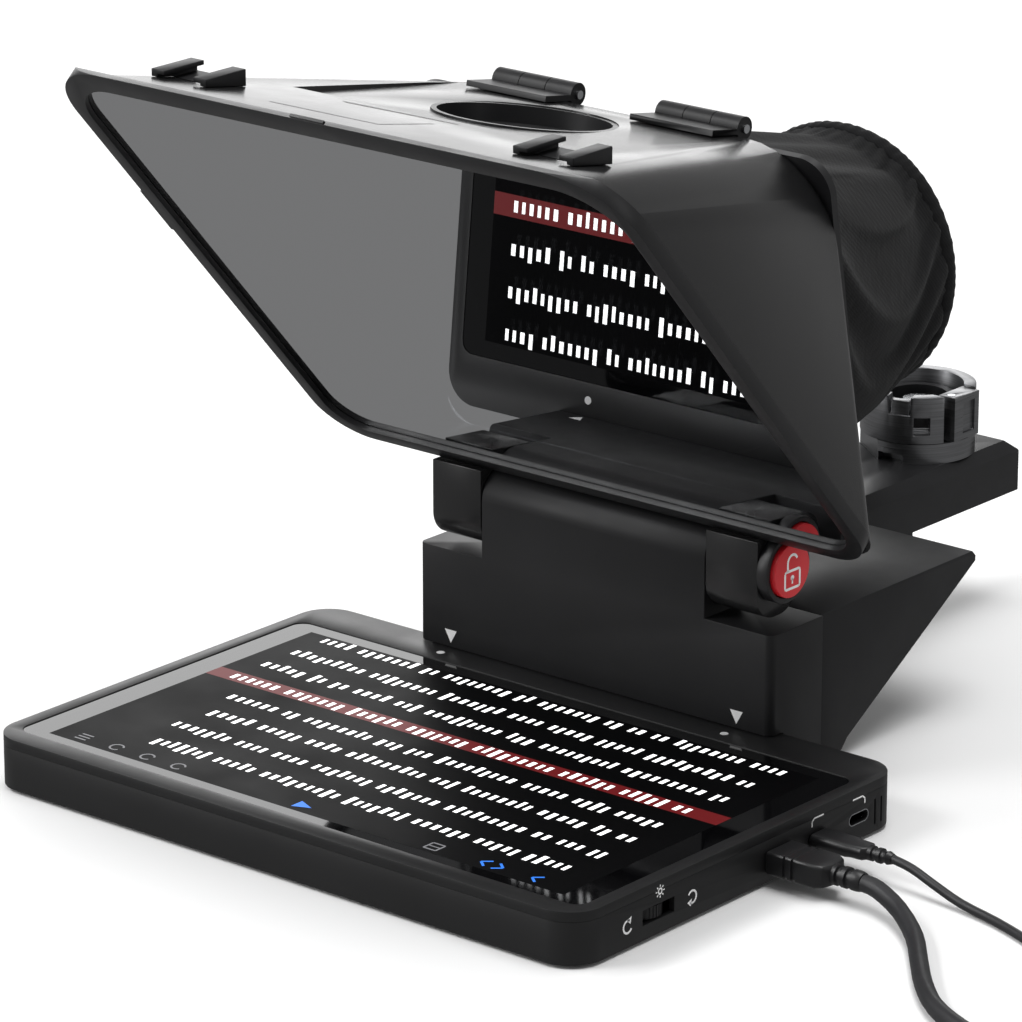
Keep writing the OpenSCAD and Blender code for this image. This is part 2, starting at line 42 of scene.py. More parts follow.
BRACKET_FRONT = 163.5
WHEEL_Y = 41.7       # middle of the edge wheel, from the monitor's front edge, mm
TILT_Y, TILT_Z = 174.5, 74.5   # the axis on which the hood tilts, mm
BUTTON_FACE = 77.3   # outer face of the red button, mm
INK = 0.04           # how far a printed mark stands off its face, mm

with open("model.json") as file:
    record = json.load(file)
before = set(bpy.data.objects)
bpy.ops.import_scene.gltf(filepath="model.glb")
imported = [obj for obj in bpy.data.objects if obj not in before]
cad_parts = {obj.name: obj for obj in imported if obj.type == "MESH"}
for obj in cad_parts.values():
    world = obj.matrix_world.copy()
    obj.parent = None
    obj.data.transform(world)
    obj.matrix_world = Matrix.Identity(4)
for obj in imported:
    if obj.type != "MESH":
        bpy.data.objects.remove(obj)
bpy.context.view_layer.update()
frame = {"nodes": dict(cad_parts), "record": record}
BODY_OF = {node: body for body, nodes in frame["record"]["behaviour"]["bodies"].items() for node in nodes}


def at(x, y, z):
    """A point given in the design's millimetres, as a point of the row frame in metres."""
    return Vector((x, y - HALF_DEPTH, z + FOOT)) * MM


# ---- camera, floor and light ----

def add_camera():
    camera = bpy.data.objects.new("camera", bpy.data.cameras.new("camera"))
    camera.data.lens = 203.0
    camera.data.sensor_width = 36.0
    camera.data.clip_end = 20.0
    looks_down, turned = 18.36, 39.96
    camera.location = at(1169.8, -1275.1, 697.0)
    camera.rotation_euler = (math.radians(90 - looks_down), 0, math.radians(turned))
    bpy.context.collection.objects.link(camera)
    bpy.context.scene.camera = camera


def area_light(name, place, target, size, power):
    light = bpy.data.lights.new(name, "AREA")
    light.shape = "RECTANGLE"
    light.size, light.size_y = size
    light.energy = power
    lamp = bpy.data.objects.new(name, light)
    lamp.location = place
    lamp.rotation_euler = (Vector(target) - Vector(place)).to_track_quat("-Z", "Y").to_euler()
    lamp.visible_camera = False
    bpy.context.collection.objects.link(lamp)


def add_studio():
    world = bpy.data.worlds.new("studio")
    world.use_nodes = True
    nodes, links = world.node_tree.nodes, world.node_tree.links
    seen = nodes["Background"]
    seen.inputs["Color"].default_value = (1.0, 1.0, 1.0, 1.0)
    seen.inputs["Strength"].default_value = 1.0
    ambient = nodes.new("ShaderNodeBackground")
    ambient.inputs["Strength"].default_value = 0.32
    path = nodes.new("ShaderNodeLightPath")
    mix = nodes.new("ShaderNodeMixShader")
    links.new(path.outputs["Is Camera Ray"], mix.inputs[0])
    links.new(ambient.outputs[0], mix.inputs[1])
    links.new(seen.outputs[0], mix.inputs[2])
    links.new(mix.outputs[0], nodes["World Output"].inputs["Surface"])
    bpy.context.scene.world = world
    bpy.context.scene.view_settings.view_transform = "Standard"
    area_light("backdrop", (-2.09, 1.755, 0.75), (0, 0, 0.35), (2.2, 1.5), 22)
    area_light("key", (-1.3, -1.6, 1.9), (0, 0, 0.1), (1.0, 1.0), 26)
    area_light("overhead", (0.2, 0.2, 2.2), (0, 0, 0), (1.6, 1.2), 34)
    area_light("front_strip", (-1.5, -1.8, 0.7), (0, 0, 0.1), (0.7, 0.9), 12)
    area_light("knuckle_strip", (-1.3, -0.69, 1.63), (0, 0, 0.08), (0.6, 0.22), 7)
    area_light("side_fill", (2.1, 0.4, 0.8), (0, 0.05, 0.1), (0.5, 1.2), 3)
    mesh = bpy.data.meshes.new("floor")
    mesh.from_pydata([(-6, -6, 0), (6, -6, 0), (6, 6, 0), (-6, 6, 0)], [], [(0, 1, 2, 3)])
    floor = bpy.data.objects.new("floor", mesh)
    bpy.context.collection.objects.link(floor)
    floor.data.materials.append(Shader("floor_paper", (0.97, 0.97, 0.97), 0.95).material)
    floor.visible_glossy = False


# ---- materials ----

class Shader:
    """A node material being built round one Principled shader."""

    def __init__(self, name, color, rough, metal=0.0):
        self.material = bpy.data.materials.new(name)
        self.material.use_nodes = True
        self.nodes = self.material.node_tree.nodes
        self.links = self.material.node_tree.links
        self.shader = self.nodes["Principled BSDF"]
        self.set("Base Color", (*color, 1.0))
        self.set("Roughness", rough)
        self.set("Metallic", metal)
        self.color = color
        self.place = self.nodes.new("ShaderNodeTexCoord").outputs["Object"]

    def set(self, socket, value):
        self.shader.inputs[socket].default_value = value

    def link(self, output, socket):
        self.links.new(output, self.shader.inputs[socket])

    def node(self, kind, inputs=(), **settings):
        node = self.nodes.new("ShaderNode" + kind)
        for name, value in settings.items():
            setattr(node, name, value)
        for socket, value in dict(inputs).items():
            if isinstance(value, bpy.types.NodeSocket):
                self.links.new(value, node.inputs[socket])
            else:
                node.inputs[socket].default_value = value
        return node

    def noise(self, scale, detail=4.0, stretch=(1, 1, 1)):
        spread = self.node("Mapping", {"Vector": self.place, "Scale": stretch})
        inputs = {"Vector": spread.outputs[0], "Scale": scale, "Detail": detail}
        return self.node("TexNoise", inputs).outputs["Fac"]

    def remap(self, value, low, high, start=0.3, end=0.7):
        inputs = {"Value": value, "From Min": start, "From Max": end, "To Min": low, "To Max": high}
        return self.node("MapRange", inputs).outputs["Result"]

    def vary_color(self, fac, amount):
        dark = [c * (1 - amount) for c in self.color] + [1.0]
        light = [min(1.0, c * (1 + amount)) for c in self.color] + [1.0]
        ramp = self.nodes.new("ShaderNodeValToRGB")
        ramp.color_ramp.elements[0].color = dark
        ramp.color_ramp.elements[0].position = 0.3
        ramp.color_ramp.elements[1].color = light
        ramp.color_ramp.elements[1].position = 0.7
        self.links.new(fac, ramp.inputs["Fac"])
        self.link(ramp.outputs["Color"], "Base Color")

    def bump(self, height, strength, distance=0.0001, below=None):
        inputs = {"Height": height, "Strength": strength, "Distance": distance}
        if below:
            inputs["Normal"] = below
        normal = self.node("Bump", inputs).outputs["Normal"]
        self.link(normal, "Normal")
        return normal


def plain(name, color, rough, metal=0.0, scale=800, strength=0.15):
    """Moulded or painted surface: slow colour drift, uneven gloss and a fine grain."""
    m = Shader(name, color, rough, metal)
    m.vary_color(m.noise(25), 0.12)
    m.link(m.remap(m.noise(60), rough * 0.88, min(1.0, rough * 1.12)), "Roughness")
    m.bump(m.noise(scale, 2.0), strength)
    return m.material


def satin_coat():
    """Dark satin paint of the hood, with a fine orange-peel."""
    m = Shader("satin_coat", (0.0125, 0.0125, 0.013), 0.24)
    m.set("Specular IOR Level", 0.5)
    m.vary_color(m.noise(18), 0.10)
    m.link(m.remap(m.noise(40), 0.22, 0.27), "Roughness")
    grain = m.bump(m.noise(900, 2.0), 0.10)
    m.bump(m.noise(3500, 1.0), 0.12, 0.00004, grain)
    return m.material


def anodised():
    """Fine blasted and anodised aluminium of the bracket and bar."""
    m = Shader("anodised", (0.0125, 0.0125, 0.0135), 0.36)
    m.set("Specular IOR Level", 0.3)
    m.vary_color(m.noise(30), 0.14)
    m.link(m.remap(m.noise(55), 0.42, 0.5), "Roughness")
    m.bump(m.noise(4200, 1.5), 0.22, 0.00004)
    return m.material


def case_plastic():
    """Fine-textured black plastic of the monitor."""
    m = Shader("case_plastic", (0.0105, 0.0105, 0.011), 0.38)
    m.set("Specular IOR Level", 0.4)
    m.vary_color(m.noise(20), 0.12)
    m.link(m.remap(m.noise(45), 0.38, 0.47), "Roughness")
    m.bump(m.noise(5000, 1.0), 0.25, 0.00003)
    return m.material


def brushed(name, color, rough, stretch, metal=1.0):
    """Turned or brushed metal: streaks along one direction."""
    m = Shader(name, color, rough, metal)
    streaks = m.noise(700, 3.0, stretch)
    m.vary_color(streaks, 0.16)
    m.link(m.remap(streaks, rough * 0.8, rough * 1.25), "Roughness")
    m.bump(streaks, 0.18, 0.00005)
    return m.material


def cloth():
    """Matte black cloth: fine twill weave, fuzz sheen and slow shade changes."""
    m = Shader("sleeve_cloth", (0.0055, 0.0055, 0.006), 0.95)
    m.set("Sheen Weight", 0.05)
    m.set("Sheen Roughness", 0.45)
    m.set("Specular IOR Level", 0.2)
    m.vary_color(m.noise(90), 0.25)
    warp = m.node("TexWave", {"Vector": m.place, "Scale": 420.0, "Distortion": 1.5, "Detail": 1.0},
                  bands_direction="DIAGONAL").outputs["Fac"]
    weave = m.bump(warp, 0.35, 0.00012)
    m.bump(m.noise(260, 5.0), 0.55, 0.0005, weave)
    return m.material


def rubber(name, color, rough=0.6):
    m = Shader(name, color, rough)
    m.set("Specular IOR Level", 0.4)
    m.vary_color(m.noise(70), 0.15)
    m.link(m.remap(m.noise(150), rough * 0.9, rough * 1.1), "Roughness")
    m.bump(m.noise(1800, 2.0), 0.2, 0.00005)
    return m.material


def splitter():
    """Half-mirrored glass: its front face is part mirror, part clear; its back face hardly reflects."""
    m = Shader("half_mirror", (0.6, 0.62, 0.64), 0.02)
    film = m.remap(m.noise(9), 0.003, 0.009)
    mirror = m.node("BsdfGlossy", {"Color": (0.66, 0.665, 0.675, 1), "Roughness": film})
    clear = m.node("BsdfTransparent", {"Color": (0.22, 0.225, 0.235, 1)})
    both = m.node("AddShader")
    back = m.node("NewGeometry").outputs["Backfacing"]
    dull = m.node("BsdfGlossy", {"Color": (0.03, 0.03, 0.03, 1), "Roughness": 0.02})
    facing = m.node("MixShader")
    m.links.new(back, facing.inputs[0])
    m.links.new(mirror.outputs[0], facing.inputs[1])
    m.links.new(dull.outputs[0], facing.inputs[2])
    m.links.new(facing.outputs[0], both.inputs[0])
    m.links.new(clear.outputs[0], both.inputs[1])
    m.links.new(both.outputs[0], m.nodes["Material Output"].inputs["Surface"])
    return m.material


def black_gloss(name, rough, level):
    """Black-printed glass border and dark display surface."""
    m = Shader(name, (0.0022, 0.0022, 0.0026), rough)
    m.set("Specular IOR Level", level)
    m.link(m.remap(m.noise(30), rough * 0.9, rough * 1.15), "Roughness")
    return m.material


def glow(name, color, strength):
    m = Shader(name, (0, 0, 0), 0.5)
    m.set("Emission Color", (*color, 1.0))
    m.set("Emission Strength", strength)
    return m.material


def paint_print(name, color):
    """Screen-printed ink."""
    m = Shader(name, color, 0.5)
    m.vary_color(m.noise(300), 0.04)
    return m.material


MATERIALS = {}


def make_materials():
    MATERIALS.update({
        "anodised_dark": anodised(),
        "hood_grey": satin_coat(),
        "case_black": case_plastic(),
        "trim_black": plain("trim_plastic", (0.0095, 0.0095, 0.0105), 0.4, 0.0, 2600, 0.15),
        "black_glass": black_gloss("cover_gloss", 0.04, 0.5),
        "splitter_glass": splitter(),
        "screen": black_gloss("display_black", 0.45, 0.04),
        "board_green": plain("board_lacquer", (0.02, 0.14, 0.06), 0.35, 0.0, 400, 0.2),
        "bright_steel": brushed("bright_steel", (0.55, 0.56, 0.58), 0.25, (1, 1, 0.05)),
        "puck_aluminium": brushed("puck_aluminium", (0.24, 0.242, 0.25), 0.34, (0.05, 0.05, 3.0)),
        "brass_insert": brushed("turned_brass", (0.72, 0.5, 0.2), 0.3, (0.1, 0.1, 2.0)),
        "foot_rubber": rubber("foot_rubber", (0.012, 0.012, 0.012), 0.8),
        "button_red": plain("button_red", (0.62, 0.012, 0.02), 0.32, 0.0, 1800, 0.08),
        "sleeve_cloth": cloth(),
        "cable_black": rubber("cable_jacket", (0.020, 0.020, 0.022), 0.45),
    })
    for part in frame["record"]["subparts"]:
        skin = MATERIALS[part["material_slot"]]
        mesh = frame["nodes"][part["node"]].data
        mesh.materials.clear()
        mesh.materials.append(skin)


# ---- mesh helpers ----

def piece(name, bm, body, skin):
    """A new object on a body; its skin is a material, or the name of one of the record's materials."""
    mesh = bpy.data.meshes.new(name)
    bm.normal_update()
    bm.to_mesh(mesh)
    bm.free()
    mesh.materials.append(MATERIALS[skin] if isinstance(skin, str) else skin)
    obj = bpy.data.objects.new(name, mesh)
    bpy.context.collection.objects.link(obj)
    if body:
        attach(obj, body)
    return obj


def smooth(obj, angle=35):
    obj.data.polygons.foreach_set("use_smooth", [True] * len(obj.data.polygons))
    obj.data.set_sharp_from_angle(angle=math.radians(angle))


def apply_modifiers(obj):
    graph = bpy.context.evaluated_depsgraph_get()
    done = bpy.data.meshes.new_from_object(obj.evaluated_get(graph))
    obj.modifiers.clear()
    obj.data = done


def soften(node, width=0.4, angle=38, segments=2):
    """Replaces a hard-edged CAD node with the same shape whose edges are rounded."""
    bm = bmesh.new()
    bm.from_mesh(frame["nodes"][node].data)
    bmesh.ops.remove_doubles(bm, verts=bm.verts, dist=1e-6)
    bmesh.ops.dissolve_limit(bm, angle_limit=math.radians(0.8), verts=bm.verts, edges=bm.edges)
    slot = next(p["material_slot"] for p in frame["record"]["subparts"] if p["node"] == node)
    obj = piece(node + "_shape", bm, None, slot)
    bevel = obj.modifiers.new("edges", "BEVEL")
    bevel.width = width * MM
    bevel.segments = segments
    bevel.limit_method = "ANGLE"
    bevel.angle_limit = math.radians(angle)
    bevel.harden_normals = False
    bevel.use_clamp_overlap = True
    apply_modifiers(obj)
    smooth(obj, 32)
    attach(obj, BODY_OF[node])
    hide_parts(node)


def rounded_outline(half_w, low, high, r_low, r_high, steps=10):
    """Points of a rounded rectangle in a plane, counter-clockwise from the lower right corner."""
    points = []
    corners = [(half_w - r_low, low + r_low, r_low, -90), (half_w - r_high, high - r_high, r_high, 0),
               (r_high - half_w, high - r_high, r_high, 90), (r_low - half_w, low + r_low, r_low, 180)]
    for cx, cy, r, start in corners:
        for i in range(steps + 1):
            a = math.radians(start + 90 * i / steps)
            points.append((cx + r * math.cos(a), cy + r * math.sin(a)))
    return points


def skin_rings(bm, rings, closed=True):
    """Joins rows of points with quads; each row is a loop, and closed joins the last row to the first."""
    rows = [[bm.verts.new(p) for p in ring] for ring in rings]
    pairs = list(zip(rows, rows[1:])) + ([(rows[-1], rows[0])] if closed else [])
    n = len(rows[0])
    for a, b in pairs:
        for i in range(n):
            j = (i + 1) % n
            bm.faces.new((a[i], a[j], b[j], b[i]))
    return rows


def plane_point(origin, angle, x, s, n):
    """Point x across, s up and n out of a plane that leans by an angle about X."""
    c, k = math.cos(math.radians(angle)), math.sin(math.radians(angle))
    return at(x, origin[0] + s * c - n * k, origin[1] + s * k + n * c)


def on_rear(x, s, n=0.0):
    return plane_point((195.0, 85.7), 99.7, x, s, n)


def on_roof(x, s, n=0.0):
    return plane_point((172.0, 220.0), -9.7, x, s, n)


# ---- cords ----

CORD_FLOOR = -FOOT + 0.05


def spline_points(route, steps):
    """Catmull-Rom curve through the route, the same as in the CAD source."""
    pts = [Vector(p) for p in route]
    line = []
    for i in range(len(pts) - 1):
        a, b, c, d = pts[max(i - 1, 0)], pts[i], pts[i + 1], pts[min(i + 2, len(pts) - 1)]
        for k in range(steps):
            t = k / steps
            line.append(0.5 * (2 * b + (c - a) * t + (2 * a - 5 * b + 4 * c - d) * t * t
                               + (3 * b - a - 3 * c + d) * t ** 3))
    return line + [pts[-1]]


def coil_points(centre, inner, outer, d, turns_per_layer):
    """Two layers of turns: inwards on the floor, then outwards on top, ending beside the centre."""
    base = CORD_FLOOR + d / 2 + 0.05
    points = []
    total = 2 * turns_per_layer + 0.25
    count = int(total * 24)
    for i in range(1, count + 1):
        turn = total * i / count
        span = turns_per_layer - 0.5
        inward = min(turn, span) / span
        outward = min(max(turn - turns_per_layer - 0.25, 0.0) / (span - 0.25), 1.0)
        r = outer + (inner - outer) * (inward - outward)
        climb = min(max((turn - span) / 0.75, 0.0), 1.0)
        lift = climb * climb * (3 - 2 * climb)
        a = 2 * math.pi * turn - math.pi / 2
        x, y = centre[0] + r * math.cos(a), centre[1] + r * math.sin(a)
        points.append(Vector((x, y, base + lift * d * 1.02)))
    return points


def section(half_w, half_h, r, steps=5):
    """Rounded rectangle centred on its own origin."""
    return [(u, v - half_h) for u, v in rounded_outline(half_w, 0, 2 * half_h, r, r, steps)]


def loft_along(name, axis, centre, sections, body, skin, nodes=()):
    """Closed solid through sections, each a place on the axis, half width, half height and corner radius."""
    bm = bmesh.new()
    rings = []
    for along, half_w, half_h, r in sections:
        ring = []
        for u, v in section(half_w, half_h, min(r, half_w * 0.999, half_h * 0.999)):
            up = centre[1] + v
            spot = (along, centre[0] + u, up) if axis == "x" else (centre[0] - u, along, up)
            ring.append(at(*spot))
        rings.append(ring)
    rows = skin_rings(bm, rings, closed=False)
    bm.faces.new(list(reversed(rows[0])))
    bm.faces.new(rows[-1])
    bmesh.ops.recalc_face_normals(bm, faces=bm.faces[:])
    obj = piece(name, bm, body, skin)
    smooth(obj, 30)
    if nodes:
        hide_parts(*nodes)
    return obj


def relief(start, step, radii):
    """Ribbed strain relief: round sections that swell and narrow."""
    rows = []
    for i, r in enumerate(radii):
        for k in (0.08, 0.92):
            rows.append((start + step * (i + k), r, r, r))
    return rows


def add_plugs():
    full, groove = (7.2, 4.0, 1.2), (6.5, 3.75, 1.2)
    hdmi = [(127.7, 6.7, 3.5, 1.0), (128.4, *full), (134.0, *full)]
    for x in (135.0, 138.2):
        hdmi += [(x - 0.2, *full), (x, *groove), (x + 1.4, *groove), (x + 1.6, *full)]
    hdmi += [(147.2, *full), (149.6, 6.0, 3.7, 1.4), (150.4, 4.3, 3.6, 2.4)]
    hdmi += relief(150.6, 1.9, [3.6, 2.75, 3.6, 2.75, 3.55])
    hdmi += [(161.2, 3.35, 3.35, 3.3), (162.0, 3.1, 3.1, 3.1)]
    plug = loft_along("hdmi_overmould", "x", (102.5, 7.2), hdmi, "base", "trim_black", ["hdmi_plug"])
    usb = [(127.7, 4.8, 2.0, 1.8), (128.3, 5.2, 2.4, 2.2), (141.5, 5.2, 2.4, 2.2), (143.0, 4.7, 2.25, 2.1),
           (147.6, 4.4, 2.2, 2.0), (148.6, 3.0, 2.2, 2.0)]
    usb += relief(148.8, 1.7, [2.6, 2.0, 2.6, 2.0])
    usb += [(156.2, 2.3, 2.3, 2.2), (158.0, 1.7, 1.7, 1.7)]
    lead = loft_along("usb_overmould", "x", (123.7, 7.6), usb, "base", "trim_black", ["usb_plug"])
    far = relief(84.4, 2.3, [3.3, 3.6, 3.0, 3.9, 3.2, 4.0, 3.4])
    far += [(101.5, 4.2, 4.0, 3.6), (104.0, 8.6, 4.4, 2.0), (106.0, 10.0, 5.0, 1.6), (111.0, 10.0, 5.0, 1.6),
            (111.3, 9.4, 4.7, 1.6), (112.6, 9.4, 4.7, 1.6), (112.9, 10.0, 5.0, 1.6), (115.0, 10.0, 5.0, 1.6),
            (115.3, 9.4, 4.7, 1.6), (116.6, 9.4, 4.7, 1.6), (116.9, 10.0, 5.0, 1.6), (127.2, 10.0, 5.0, 1.6),
            (128.0, 9.4, 4.4, 1.6)]
    centre = (341.0, 3.86)
    far_hdmi = loft_along("hdmi_far_overmould", "y", centre, far, "base", "trim_black", ["hdmi_far_plug"])
    tip = [(127.9, 6.9, 2.2, 0.9), (139.8, 6.9, 2.2, 0.9), (140.0, 6.7, 2.0, 0.8)]
    tip_hdmi = loft_along("hdmi_far_shell", "y", centre, tip, "base", "bright_steel")
    far = relief(128.2, 1.6, [1.9, 2.2, 1.8, 2.3, 2.0])
    far += [(136.6, 2.4, 2.2, 2.0), (138.0, 4.6, 2.1, 1.8), (139.0, 5.2, 2.4, 2.0), (151.0, 5.2, 2.4, 2.0),
            (151.7, 4.9, 2.1, 1.8)]
    centre = (277.5, 1.26)
    far_usb = loft_along("usb_far_overmould", "y", centre, far, "base", "trim_black", ["usb_far_plug"])
    tip = [(151.6, 4.1, 1.25, 1.1), (159.8, 4.1, 1.25, 1.1), (160.0, 3.9, 1.1, 1.0)]
    tip_usb = loft_along("usb_far_shell", "y", centre, tip, "base", "bright_steel")
    return [plug, far_hdmi, tip_hdmi], [lead, far_usb, tip_usb]


def add_tie(name, centre, ring_r, half_w, top, angle):
    """Hook-and-loop strap over a coil, with its ends on the floor beside it."""
    bm = bmesh.new()
    rows = []
    across = Vector((math.cos(angle), math.sin(angle), 0))
    along = Vector((-math.sin(angle), math.cos(angle), 0))
    middle = Vector((centre[0], centre[1], 0)) + across * ring_r
    arch = [(-half_w - 0.9, 0.1), (-half_w - 0.7, top * 0.55), (-half_w * 0.72, top * 0.95), (0, top + 0.5),
            (half_w * 0.72, top * 0.95), (half_w + 0.7, top * 0.55), (half_w + 0.9, 0.1)]
    for inset, lift in ((0.0, 0.0), (0.35, 0.6)):
        for side in (-3.6, 3.6):
            row = []
            for u, v in arch:
                out = u - math.copysign(inset, u) if u else 0
                up = Vector((0, 0, CORD_FLOOR + max(0.0, v - lift * (v > 0.2))))
                row.append(at(*(middle + across * out + along * side + up)))
            rows.append(row)
    order = [rows[0], rows[1], rows[3], rows[2]]
    verts = [[bm.verts.new(p) for p in row] for row in order]
    for a, b in zip(verts, verts[1:] + verts[:1]):
        for i in range(len(arch) - 1):
            bm.faces.new((a[i], a[i + 1], b[i + 1], b[i]))
    for i in (0, -1):
        bm.faces.new([row[i] for row in verts])
    bmesh.ops.recalc_face_normals(bm, faces=bm.faces[:])
    obj = piece(name, bm, "base", "sleeve_cloth")
    smooth(obj, 40)
    return obj


def add_cord(name, route, centre, inner, outer, d, turns, tail, nodes):
    line = spline_points(route, 3) + coil_points(centre, inner, outer, d, turns) + [Vector(p) for p in tail]
    curve = bpy.data.curves.new(name, "CURVE")
    curve.dimensions = "3D"
    curve.bevel_depth = d / 2 * MM
    curve.bevel_resolution = 5
    curve.use_fill_caps = True
    spline = curve.splines.new("POLY")
    spline.points.add(len(line) - 1)
    for point, p in zip(spline.points, line):
        point.co = (*at(*p), 1.0)
    spline.use_smooth = True
    curve.materials.append(MATERIALS["cable_black"])
    obj = bpy.data.objects.new(name, curve)
    bpy.context.collection.objects.link(obj)
    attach(obj, "base")
    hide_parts(*nodes)


def add_cords():
    hdmi_plugs, usb_plugs = add_plugs()
    hdmi_plugs.append(add_tie("hdmi_tie", (302, 69), 33, 9.3, 12.2, math.radians(200)))
    usb_plugs.append(add_tie("usb_tie", (256, 120), 17, 6.2, 6.6, math.radians(150)))
    hdmi_route = [(162, 102.5, 7), (168, 102, 6.4), (180, 97, 4.2), (194, 86, 2.4), (206, 72, 2),
                  (218, 58, 2), (231, 46, 2), (246, 38, 2), (264, 32, 2), (283, 30, 2), (302, 30, 2)]
    add_cord("hdmi_lead", hdmi_route, (302, 69), 27, 39, 6.0, 3,
             [(341, 76, 7.4), (341, 83, 5.6), (341, 90, 4.2), (341, 98, 3.9)],
             ("hdmi_cable", "hdmi_coil"))
    usb_route = [(158, 123.7, 7.6), (166, 123, 6.6), (176, 121.5, 4), (188, 119.5, 1.4), (204, 116, 0.6),
                 (220, 110, 0.5), (236, 102, 0.5), (246, 99, 0.5), (256, 98.5, 0.5)]
    add_cord("usb_lead", usb_route, (256, 120), 12.5, 21.5, 3.0, 4,
             [(277.5, 124, 2.9), (277.5, 128, 2.0), (277.5, 132, 1.4), (277.5, 136, 1.3)],
             ("usb_cable", "usb_coil"))


# ---- screen and printed marks ----

def strip(points, width):
    """Quads along a broken line."""
    quads = []
    for (ax, ay), (bx, by) in zip(points, points[1:]):
        dx, dy = bx - ax, by - ay
        k = width / 2 / math.hypot(dx, dy)
        nx, ny = -dy * k, dx * k
        quads.append([(ax + nx, ay + ny), (ax - nx, ay - ny), (bx - nx, by - ny), (bx + nx, by + ny)])
    return quads


def arc(cx, cy, r, start, end, steps=14):
    return [(cx + r * math.cos(math.radians(start + (end - start) * i / steps)),
             cy + r * math.sin(math.radians(start + (end - start) * i / steps))) for i in range(steps + 1)]


def rect(x0, y0, x1, y1):
    return [(x0, y0), (x1, y0), (x1, y1), (x0, y1)]


def decal(name, shapes, place, body, skin):
    """Flat printed shapes laid on a surface by place(u, v)."""
    bm = bmesh.new()
    for shape in shapes:
        bm.faces.new([bm.verts.new(place(u, v)) for u, v in shape])
    piece(name, bm, body, skin)


def on_screen(lift):
    return lambda x, y: at(x, y, MONITOR_TOP - DISPLAY_SINK + lift)


def on_monitor_side(y, z):
    return at(MONITOR_SIDE + INK, y, z)


def on_bracket(x, z):
    return at(x, BRACKET_FRONT - INK, z)


def glyph(rng, x, y, w, h):
    """One place of a row: a plain block, some taller or lower than the rest, which is no letter."""
    top = y + h * rng.choice((1.0, 1.0, 1.0, 1.34))
    low = y - (1.4 if rng.random() < 0.12 else 0.0)
    return rect(x + 0.2 * w, low, x + 0.86 * w, top)


def text_rows():
    """Rows of blocks in groups, upside down, because the glass turns the picture over."""
    rng = random.Random(7)
    starts = (-80, -86, -84, -90, -103, -103, -103, -103)
    heights = (31, 47, 63, 78.3, 94.3, 110, 125.5, 141)
    row_end, overrun, glyph_height, gap, space = 98, 3, 4.2, 1.1, 2.6
    shapes = []
    for x, y in zip(starts, heights):
        while x < row_end:
            for _ in range(rng.choice((2, 3, 4, 5, 6, 7, 8, 9))):
                w = rng.choice((2.3, 2.7, 2.7, 3.0))
                if x + w > row_end + overrun:
                    break
                block = glyph(rng, x, y - glyph_height / 2, w, glyph_height)
                shapes.append([(px, 2 * y - py) for px, py in reversed(block)])
                x += w + gap
            x += space
    return shapes


def add_screen():
    half_w = 111.7
    decal("display_surface", [rect(-half_w, 13.2, half_w, 145.0)], on_screen(0.02),
          "base", "screen")
    decal("read_line", [rect(-half_w, 90.2, half_w, 98.4)], on_screen(0.04), "base",
          glow("read_band", (0.30, 0.004, 0.008), 0.5))
    decal("text_rows", text_rows(), on_screen(0.06), "base",
          glow("text_white", (1.0, 1.0, 1.0), 2.0))
    blue, grey = [], []
    blue += strip([(98, 15.5), (95, 18), (98, 20.5)], 0.9)
    blue += strip([(77, 15.5), (74, 18), (77, 20.5)], 0.9) + strip([(80, 15.5), (83, 18), (80, 20.5)], 0.9)
    blue += [[(-4.5, 15.2), (2.0, 18.0), (-4.5, 20.8)]]
    grey += strip(rect(52, 15.5, 57, 20.5) + [(52, 15.5)], 0.7) + strip([(52, 18), (57, 18)], 0.6)
    for x in (-57, -71, -85):
        grey += strip(arc(x, 18, 2.4, 20, 320), 0.7)
    for y in (16, 18, 20):
        grey += strip([(-102.5, y), (-97.5, y)], 0.7)
    decal("tool_icons_blue", blue, on_screen(0.06), "base",
          glow("icon_blue", (0.03, 0.22, 0.9), 1.2))
    decal("tool_icons_grey", grey, on_screen(0.06), "base",
          glow("icon_grey", (0.3, 0.3, 0.32), 0.8))


def side_marks():
    """Turning arrows and a sun beside the edge wheel, and a bracket line above each pair of ports."""
    marks = []
    for y, turn in ((25.5, 0), (58.0, 180)):
        z = 7.2
        marks += strip(arc(y, z, 2.1, turn + 60, turn + 330), 0.75)
        tip = arc(y, z, 2.1, turn + 60, turn + 60, 1)[0]
        marks.append([(tip[0] + u, tip[1] + v) for u, v in ((-1.4, 0.3), (0.3, -1.2), (0.9, 1.3))])
    sun_z = 14.2
    marks += strip(arc(WHEEL_Y, sun_z, 0.9, 0, 360), 0.6)
    for k in range(8):
        a = math.radians(45 * k)
        ray = [(WHEEL_Y + r * math.cos(a), sun_z + r * math.sin(a)) for r in (1.5, 2.2)]
        marks += strip(ray, 0.45)
    marks += strip([(120.6, 11.8), (120.6, 13.6), (121.8, 14.6), (126.8, 14.6)], 0.55)
    marks += strip([(142.6, 14.6), (148, 14.6), (149.2, 13.6), (149.2, 11.8)], 0.55)
    return marks


def padlock():
    """Open padlock: outline, shackle and keyhole, centred on the button."""
    case = [(-4.0, -5.6), (-3.5, -6.1), (3.5, -6.1), (4.0, -5.6), (4.0, -0.4), (3.5, 0.1), (-3.5, 0.1),
            (-4.0, -0.4), (-4.0, -5.6)]
    shackle = [(-2.6, 0.1), (-2.6, 3.0)] + list(reversed(arc(0.0, 3.0, 2.6, 20, 180)))
    keyhole = [arc(0, -2.5, 0.95, 0, 340, 12), rect(-0.4, -4.6, 0.4, -2.6)]
    return strip(case, 0.95) + strip(shackle, 0.95) + keyhole


